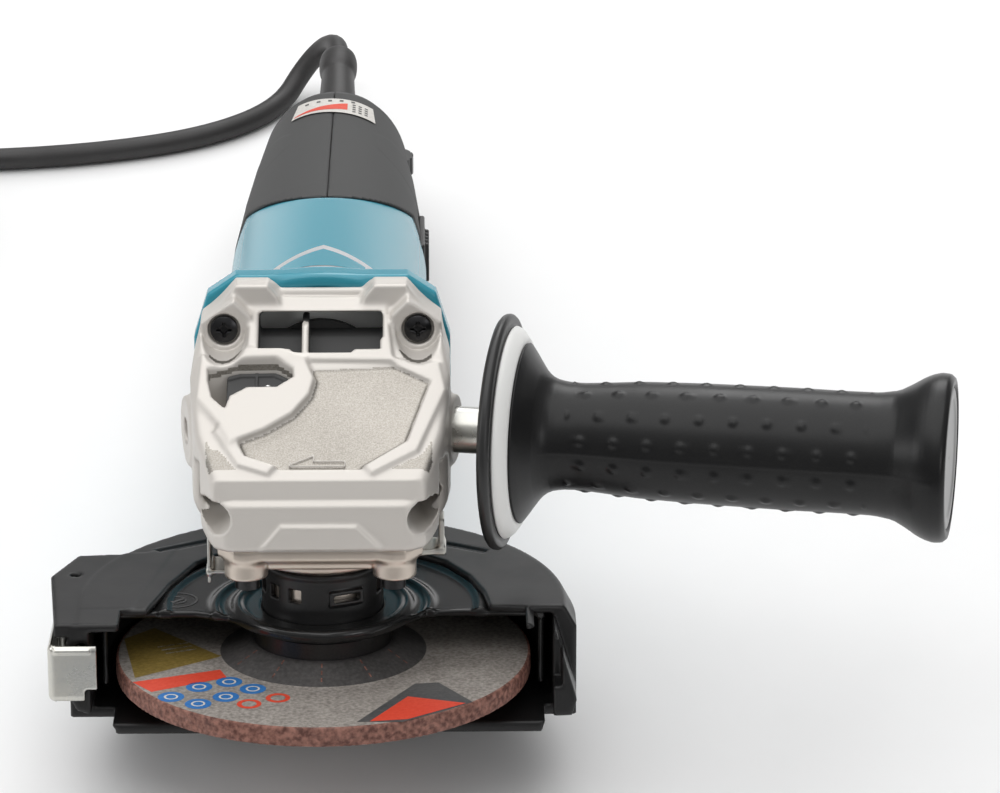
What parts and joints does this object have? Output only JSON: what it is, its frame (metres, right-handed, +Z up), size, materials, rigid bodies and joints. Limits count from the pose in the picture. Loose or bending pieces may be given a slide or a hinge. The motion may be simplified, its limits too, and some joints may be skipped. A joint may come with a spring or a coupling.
{
  "type": "angle grinder",
  "caption": "Corded angle grinder with a depressed-centre disc, wheel guard with clip-on cutting cover, side handle, shaft lock, slide switch and speed dial.",
  "frame": {"origin": "centre of the underside of the tool's bounding box, with the lead, coil and plug left out; the tool stands on the rear edge of its cover and the underside of its tail", "axes": "+Y from the disc along the motor to the tail, +X towards the side handle, +Z up from the bench"},
  "size_m": [0.4377, 0.4383, 0.1415],
  "materials": {
    "abrasive": "coarse bonded grain",
    "black_paint": "gloss",
    "black_plastic": "satin",
    "black_steel": "black",
    "brass": "plain",
    "carbon": "graphite",
    "cast_plain": "sand-blasted",
    "cast_silver": "satin champagne paint",
    "copper": "enamelled wire",
    "core_steel": "laminated",
    "dark_plastic": "fine grain",
    "dark_steel": "black oxide",
    "gear_steel": "machined",
    "grey_plastic": "satin",
    "nickel": "nickel plated",
    "rubber": "matt",
    "steel": "ground",
    "teal_plastic": "semi-gloss",
    "white_plastic": "satin",
    "white_rubber": "satin",
    "zinc": "zinc plated"
  },
  "bodies": {
    "tool": {"spindle_ball_bearing": "steel", "spindle_needle_bearing": "steel", "rotor_front_bearing": "steel", "rotor_rear_bearing": "steel", "bearing_retainer": "dark_plastic", "gear_housing": "cast_silver", "bearing_box": "cast_plain", "bearing_box_screws": "dark_steel", "gear_housing_screws": "black_steel", "motor_housing": "teal_plastic", "fan_baffle": "dark_plastic", "stator_core": "core_steel", "field_coils": "copper", "brush_holders": "brass", "carbon_brushes": "carbon", "brush_springs": "steel", "tail_shell_right": "dark_plastic", "tail_shell_left": "dark_plastic", "tail_screws": "black_steel", "switch_body": "dark_plastic", "speed_controller": "dark_plastic", "cord_clamp": "dark_plastic", "shaft_lock_spring": "steel", "lever_pivot": "steel", "guard_bracket": "zinc", "handle_stud": "steel", "handle_flange": "black_plastic", "damping_ring": "white_rubber", "handle_grip": "dark_plastic", "handle_end_cap": "grey_plastic", "cord_sleeve": "rubber", "supply_cord": "rubber", "cord_coil": "rubber", "mains_plug": "rubber", "plug_pins": "nickel"},
    "rotor": {"armature_shaft": "steel", "pinion": "gear_steel", "pinion_nut": "steel", "armature_core": "core_steel", "armature_windings": "copper", "commutator": "copper", "cooling_fan": "white_plastic"},
    "spindle": {"spindle": "steel", "grinding_disc": "abrasive", "inner_flange": "dark_steel", "lock_nut": "dark_steel", "gear_retaining_ring": "steel", "spindle_seal_ring": "rubber", "crown_gear": "gear_steel"},
    "guard": {"wheel_guard": "black_paint", "guard_band": "black_paint", "cutting_cover": "dark_plastic", "clip_pin": "zinc"},
    "clip": {"cover_clip": "zinc"},
    "lever": {"guard_lever": "zinc"},
    "shaft_lock": {"shaft_lock_button": "dark_plastic", "shaft_lock_pin": "steel"},
    "switch": {"switch_slider": "black_plastic"},
    "dial": {"speed_dial": "black_plastic"}
  },
  "joints": [
    {"name": "spindle_spin", "type": "hinge", "parent": "tool", "child": "spindle", "pos_m": [-0.05363, -0.13868, 0.06143], "axis": [0, 0.3185, 0.9479], "continuous": true},
    {"name": "rotor_spin", "type": "hinge", "parent": "tool", "child": "rotor", "pos_m": [-0.05363, -0.04533, 0.08808], "axis": [0, 0.9479, -0.3185], "continuous": true},
    {"name": "guard_swivel", "type": "hinge", "parent": "tool", "child": "guard", "pos_m": [-0.05363, -0.13868, 0.06143], "axis": [0, 0.3185, 0.9479], "range_deg": [-90, 90]},
    {"name": "clip_swing", "type": "hinge", "parent": "guard", "child": "clip", "pos_m": [-0.13223, -0.14252, 0.04373], "axis": [0, 0.3185, 0.9479], "range_deg": [-100, 0]},
    {"name": "lever_swing", "type": "hinge", "parent": "tool", "child": "lever", "pos_m": [-0.02913, -0.12917, 0.07089], "axis": [0, 0.3185, 0.9479], "range_deg": [0, 14]},
    {"name": "shaft_lock", "type": "slide", "parent": "tool", "child": "shaft_lock", "axis": [0, -0.3185, -0.9479], "range_m": [0, 0.0036], "stiffness_N_per_m": 400, "springref_m": -0.003, "deforming": ["shaft_lock_spring"]},
    {"name": "switch_slide", "type": "slide", "parent": "tool", "child": "switch", "axis": [0, -0.9479, 0.3185], "range_m": [0, 0.006]},
    {"name": "dial_turn", "type": "hinge", "parent": "tool", "child": "dial", "pos_m": [-0.03963, 0.11584, 0.04342], "axis": [0, 0.3185, 0.9479], "range_deg": [0, 280]}
  ],
  "couplings": [
    {"joint": "rotor_spin", "follows": "spindle_spin", "ratio": 3.5}
  ]
}
